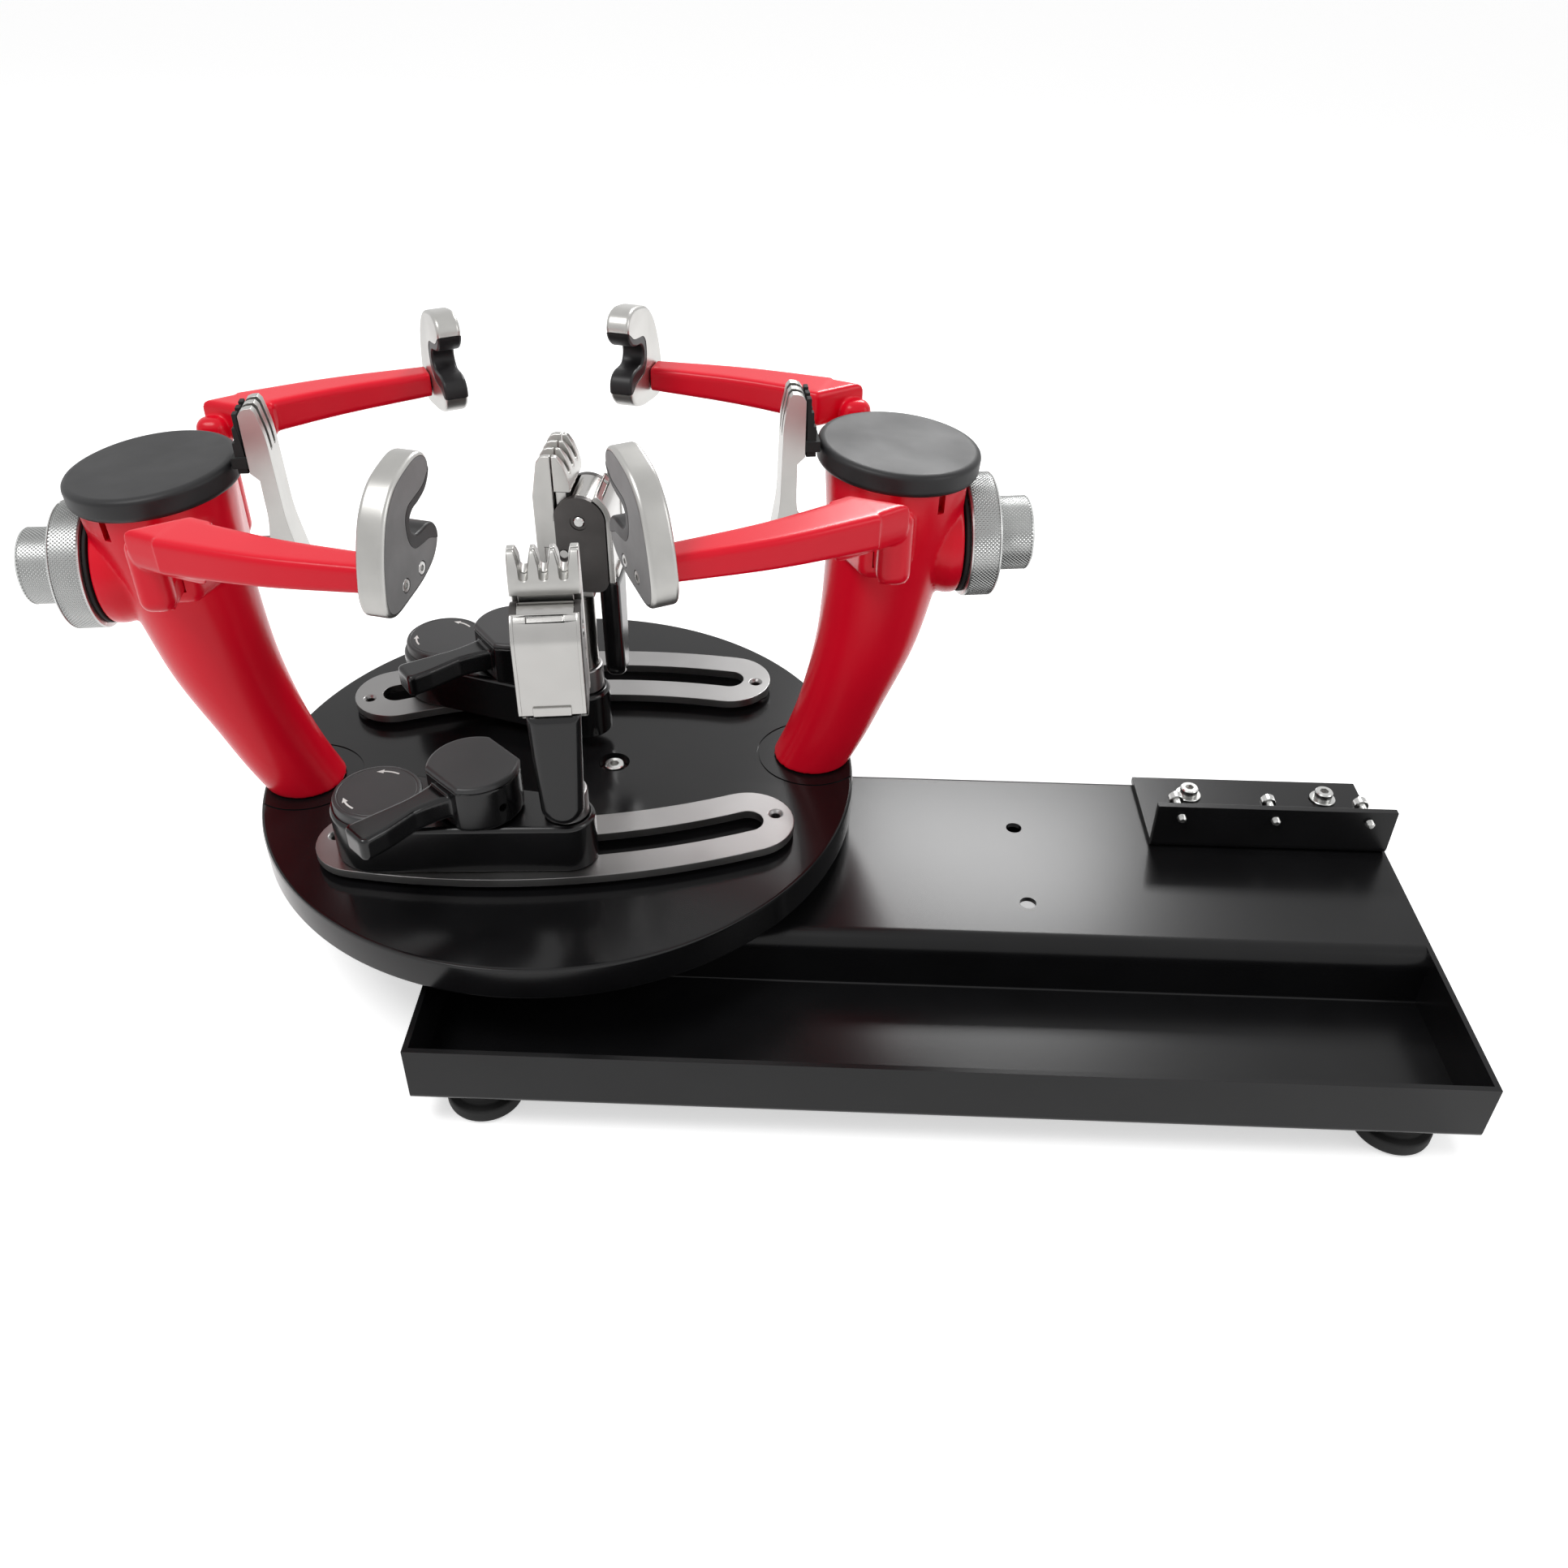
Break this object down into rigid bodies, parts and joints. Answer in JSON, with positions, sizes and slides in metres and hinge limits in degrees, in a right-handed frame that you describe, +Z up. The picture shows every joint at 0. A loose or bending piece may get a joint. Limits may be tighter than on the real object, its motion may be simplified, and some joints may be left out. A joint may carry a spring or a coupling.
{
  "type": "racket stringing machine",
  "caption": "Table-top racket stringing machine: red masts with side arms, hooks and centre supports on a round turntable with string clamps, over a black tray base with a tension head bracket.",
  "frame": {"origin": "bottom middle of the whole machine's extent, on the surface that the feet stand on", "axes": "+X along the base tray towards the bracket for the tension head, +Y to the rear, +Z up"},
  "size_m": [0.6522, 0.3242, 0.2845],
  "materials": {
    "black_coat": "black powder coat, satin, fine orange peel",
    "rubber": "matt black",
    "red_paint": "red gloss paint over castings",
    "cap_plastic": "soft matt black",
    "cast_silver": "satin casting with bright edges",
    "hook_lining": "dark grey, matt",
    "brushed_steel": "brushed",
    "knob_steel": "zinc plated with diamond knurls",
    "gloss_plastic": "moulded, glossy black",
    "clamp_chrome": "brushed chrome",
    "zinc": "zinc plated"
  },
  "bodies": {
    "base": {"base_tray": "black_coat", "foot_front_left": "rubber", "foot_front_right": "rubber", "foot_rear_left": "rubber", "foot_rear_right": "rubber", "tension_bracket": "black_coat", "bracket_bolt_1": "zinc", "bracket_bolt_2": "zinc", "adjusting_screw_1": "zinc", "adjusting_screw_2": "zinc", "adjusting_screw_3": "zinc", "turntable_spindle": "brushed_steel"},
    "turntable": {"turntable_disc": "black_coat", "hub_bolt": "zinc", "clamp_track_front": "brushed_steel", "clamp_track_rear": "brushed_steel", "mast_left": "red_paint", "mast_right": "red_paint", "mast_cap_left": "cap_plastic", "mast_cap_right": "cap_plastic"},
    "arm_drive_right": {"arm_knob_right": "knob_steel"},
    "support_drive_right": {"support_knob_right": "knob_steel"},
    "centre_support_body_right": {"centre_support_right": "cast_silver", "support_pad_right": "rubber"},
    "side_arm_body_front_right": {"side_arm_front_right": "red_paint", "hook_front_right": "cast_silver", "hook_lining_front_right": "hook_lining"},
    "side_arm_body_rear_right": {"side_arm_rear_right": "red_paint", "hook_rear_right": "cast_silver", "hook_lining_rear_right": "hook_lining"},
    "arm_drive_left": {"arm_knob_left": "knob_steel"},
    "support_drive_left": {"support_knob_left": "knob_steel"},
    "centre_support_body_left": {"centre_support_left": "cast_silver", "support_pad_left": "rubber"},
    "side_arm_body_front_left": {"side_arm_front_left": "red_paint", "hook_front_left": "cast_silver", "hook_lining_front_left": "hook_lining"},
    "side_arm_body_rear_left": {"side_arm_rear_left": "red_paint", "hook_rear_left": "cast_silver", "hook_lining_rear_left": "hook_lining"},
    "front_carriage": {"front_lock_stud": "brushed_steel"},
    "front_base": {"front_clamp_base": "black_coat", "front_post_collar": "brushed_steel"},
    "front_lock": {"front_lock_lever": "gloss_plastic"},
    "front_post": {"front_clamp_post": "brushed_steel"},
    "front_head": {"front_clamp_body": "cast_silver", "front_lever_pin": "zinc"},
    "front_lever": {"front_clamp_lever": "clamp_chrome", "front_lever_grip": "gloss_plastic"},
    "front_jaw": {"front_clamp_jaw": "cast_silver"},
    "rear_carriage": {"rear_lock_stud": "brushed_steel"},
    "rear_base": {"rear_clamp_base": "black_coat", "rear_post_collar": "brushed_steel"},
    "rear_lock": {"rear_lock_lever": "gloss_plastic"},
    "rear_post": {"rear_clamp_post": "brushed_steel"},
    "rear_head": {"rear_clamp_body": "cast_silver", "rear_lever_pin": "zinc"},
    "rear_lever": {"rear_clamp_lever": "clamp_chrome", "rear_lever_grip": "gloss_plastic"},
    "rear_jaw": {"rear_clamp_jaw": "cast_silver"}
  },
  "joints": [
    {"name": "turntable_turn", "type": "hinge", "parent": "base", "child": "turntable", "pos_m": [-0.09692, 0.01216, 0.056], "axis": [0, 0, 1], "continuous": true},
    {"name": "arm_knob_turn_right", "type": "hinge", "parent": "turntable", "child": "arm_drive_right", "pos_m": [0.09152, 0.03646, 0.2007], "axis": [0.9918, 0.1279, 0], "range_deg": [-50, 60]},
    {"name": "support_knob_turn_right", "type": "hinge", "parent": "turntable", "child": "support_drive_right", "pos_m": [0.12127, 0.0403, 0.2007], "axis": [0.9918, 0.1279, 0], "range_deg": [0, 360]},
    {"name": "centre_support_slide_right", "type": "slide", "parent": "turntable", "child": "centre_support_body_right", "axis": [-0.9918, -0.1279, 0], "range_m": [0, 0.008]},
    {"name": "side_arm_slide_front_right", "type": "slide", "parent": "turntable", "child": "side_arm_body_front_right", "axis": [0.1279, -0.9918, 0], "range_m": [-0.00785, 0.00942]},
    {"name": "side_arm_slide_rear_right", "type": "slide", "parent": "turntable", "child": "side_arm_body_rear_right", "axis": [-0.1279, 0.9918, 0], "range_m": [-0.00785, 0.00942]},
    {"name": "arm_knob_turn_left", "type": "hinge", "parent": "turntable", "child": "arm_drive_left", "pos_m": [-0.28536, -0.01215, 0.2007], "axis": [0.9918, 0.1279, 0], "range_deg": [-50, 60]},
    {"name": "support_knob_turn_left", "type": "hinge", "parent": "turntable", "child": "support_drive_left", "pos_m": [-0.31511, -0.01599, 0.2007], "axis": [0.9918, 0.1279, 0], "range_deg": [0, 360]},
    {"name": "centre_support_slide_left", "type": "slide", "parent": "turntable", "child": "centre_support_body_left", "axis": [0.9918, 0.1279, 0], "range_m": [0, 0.008]},
    {"name": "side_arm_slide_front_left", "type": "slide", "parent": "turntable", "child": "side_arm_body_front_left", "axis": [0.1279, -0.9918, 0], "range_m": [-0.00785, 0.00942]},
    {"name": "side_arm_slide_rear_left", "type": "slide", "parent": "turntable", "child": "side_arm_body_rear_left", "axis": [-0.1279, 0.9918, 0], "range_m": [-0.00785, 0.00942]},
    {"name": "front_carriage_slide", "type": "hinge", "parent": "turntable", "child": "front_carriage", "pos_m": [-0.12954, 0.26506, 0.081], "axis": [0, 0, 1], "range_deg": [-1, 1.5]},
    {"name": "front_base_swivel", "type": "hinge", "parent": "front_carriage", "child": "front_base", "pos_m": [-0.16779, -0.06372, 0.096], "axis": [0, 0, 1], "range_deg": [-8, 12]},
    {"name": "front_lock_turn", "type": "hinge", "parent": "front_base", "child": "front_lock", "pos_m": [-0.12084, -0.06589, 0.116], "axis": [0, 0, 1], "range_deg": [-60, 0]},
    {"name": "front_post_slide", "type": "slide", "parent": "front_base", "child": "front_post", "axis": [0, 0, 1], "range_m": [0, 0.018]},
    {"name": "front_head_turn", "type": "hinge", "parent": "front_post", "child": "front_head", "pos_m": [-0.07989, -0.06779, 0.176], "axis": [0, 0, 1], "range_deg": [-30, 30]},
    {"name": "front_lever_swing", "type": "hinge", "parent": "front_head", "child": "front_lever", "pos_m": [-0.07899, -0.07473, 0.209], "axis": [-0.9918, -0.1279, 0], "range_deg": [0, 36]},
    {"name": "front_jaw_open", "type": "hinge", "parent": "front_head", "child": "front_jaw", "pos_m": [-0.08005, -0.06655, 0.192], "axis": [-0.9918, -0.1279, 0], "range_deg": [-2.6, 0]},
    {"name": "rear_carriage_slide", "type": "hinge", "parent": "turntable", "child": "rear_carriage", "pos_m": [-0.0643, -0.24075, 0.081], "axis": [0, 0, 1], "range_deg": [-3, 4]},
    {"name": "rear_base_swivel", "type": "hinge", "parent": "rear_carriage", "child": "rear_base", "pos_m": [-0.16738, 0.07379, 0.096], "axis": [0, 0, 1], "range_deg": [-8, 12]},
    {"name": "rear_lock_turn", "type": "hinge", "parent": "rear_base", "child": "rear_lock", "pos_m": [-0.12446, 0.05464, 0.116], "axis": [0, 0, 1], "range_deg": [-60, 0]},
    {"name": "rear_post_slide", "type": "slide", "parent": "rear_base", "child": "rear_post", "axis": [0, 0, 1], "range_m": [0, 0.018]},
    {"name": "rear_head_turn", "type": "hinge", "parent": "rear_post", "child": "rear_head", "pos_m": [-0.08702, 0.03793, 0.176], "axis": [0, 0, 1], "range_deg": [-30, 30]},
    {"name": "rear_lever_swing", "type": "hinge", "parent": "rear_head", "child": "rear_lever", "pos_m": [-0.08003, 0.0376, 0.209], "axis": [-0.0462, -0.9989, 0], "range_deg": [0, 36]},
    {"name": "rear_jaw_open", "type": "hinge", "parent": "rear_head", "child": "rear_jaw", "pos_m": [-0.08827, 0.03799, 0.192], "axis": [-0.0462, -0.9989, 0], "range_deg": [-2.6, 0]}
  ],
  "couplings": [
    {"joint": "centre_support_slide_right", "follows": "support_knob_turn_right", "m_per_rad": 0.0012732},
    {"joint": "side_arm_slide_front_right", "follows": "arm_knob_turn_right", "m_per_rad": 0.009},
    {"joint": "side_arm_slide_rear_right", "follows": "arm_knob_turn_right", "m_per_rad": 0.009},
    {"joint": "centre_support_slide_left", "follows": "support_knob_turn_left", "m_per_rad": 0.0012732},
    {"joint": "side_arm_slide_front_left", "follows": "arm_knob_turn_left", "m_per_rad": 0.009},
    {"joint": "side_arm_slide_rear_left", "follows": "arm_knob_turn_left", "m_per_rad": 0.009},
    {"joint": "front_jaw_open", "follows": "front_lever_swing", "ratio": -0.07},
    {"joint": "rear_jaw_open", "follows": "rear_lever_swing", "ratio": -0.07}
  ]
}
